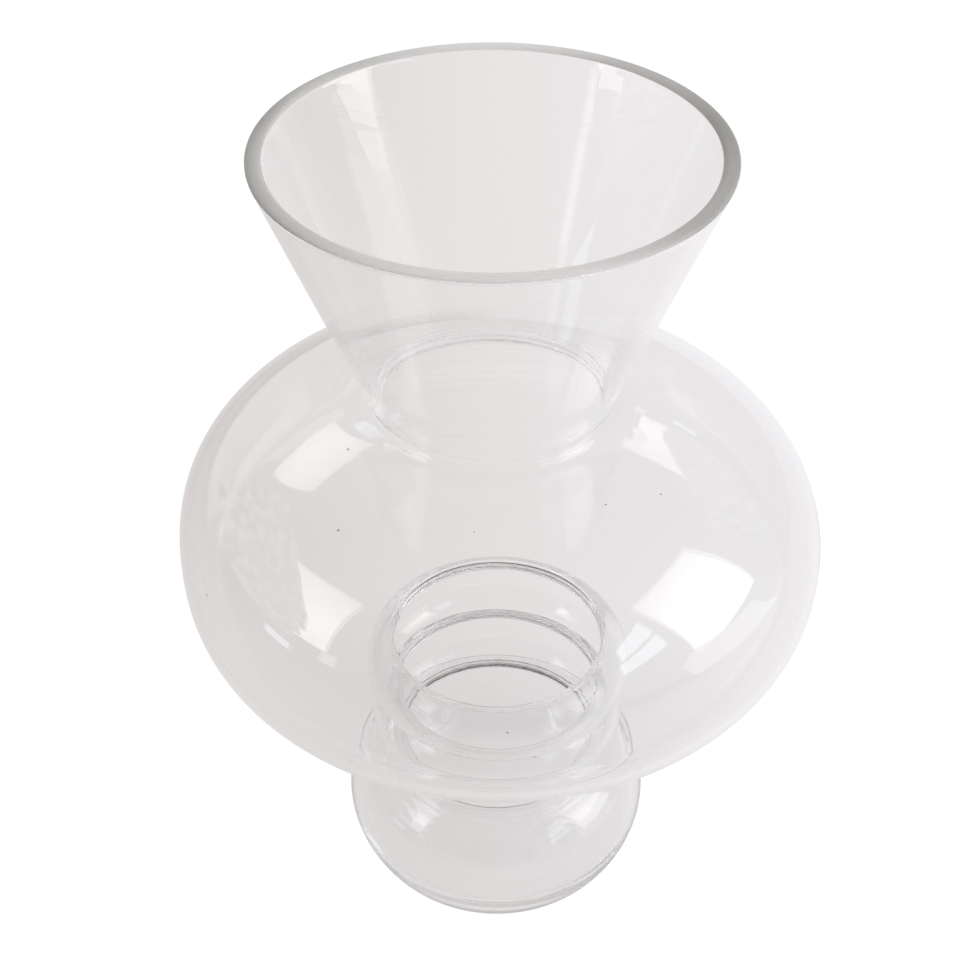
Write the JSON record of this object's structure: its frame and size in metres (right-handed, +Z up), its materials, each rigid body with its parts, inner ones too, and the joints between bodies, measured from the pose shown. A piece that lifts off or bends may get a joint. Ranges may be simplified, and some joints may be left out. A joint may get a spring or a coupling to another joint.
{
  "type": "wasp trap",
  "caption": "Clear glass wasp trap: a wide funnel mouth over an oblate catch bulb, stacked on ringed collars and a rounded closed foot bowl that lift apart at thin seals.",
  "frame": {"origin": "middle of the underside of the foot bowl, on the plane that the trap stands on", "axes": "+Z up along the axis of the glass; X and Y are free, because every piece is turned about Z"},
  "size_m": [0.1994, 0.1994, 0.282],
  "materials": {
    "clear_glass": "polished clear glass, ground flat on the rim and on the lips",
    "silicone": "thin translucent satin silicone"
  },
  "bodies": {
    "foot": {"foot_bowl": "clear_glass", "lower_seal": "silicone"},
    "lower_ring": {"lower_collar": "clear_glass", "middle_seal": "silicone"},
    "upper_ring": {"upper_collar": "clear_glass", "upper_seal": "silicone"},
    "bulb": {"catch_bulb": "clear_glass", "neck_seal": "silicone"},
    "mouth": {"funnel": "clear_glass"}
  },
  "joints": [
    {"name": "lower_collar_lift", "type": "slide", "parent": "foot", "child": "lower_ring", "axis": [0, 0, 1], "range_m": [0, 0.025]},
    {"name": "upper_collar_lift", "type": "slide", "parent": "lower_ring", "child": "upper_ring", "axis": [0, 0, 1], "range_m": [0, 0.025]},
    {"name": "bulb_lift", "type": "slide", "parent": "upper_ring", "child": "bulb", "axis": [0, 0, 1], "range_m": [0, 0.03]},
    {"name": "funnel_lift", "type": "slide", "parent": "bulb", "child": "mouth", "axis": [0, 0, 1], "range_m": [0, 0.04]}
  ]
}
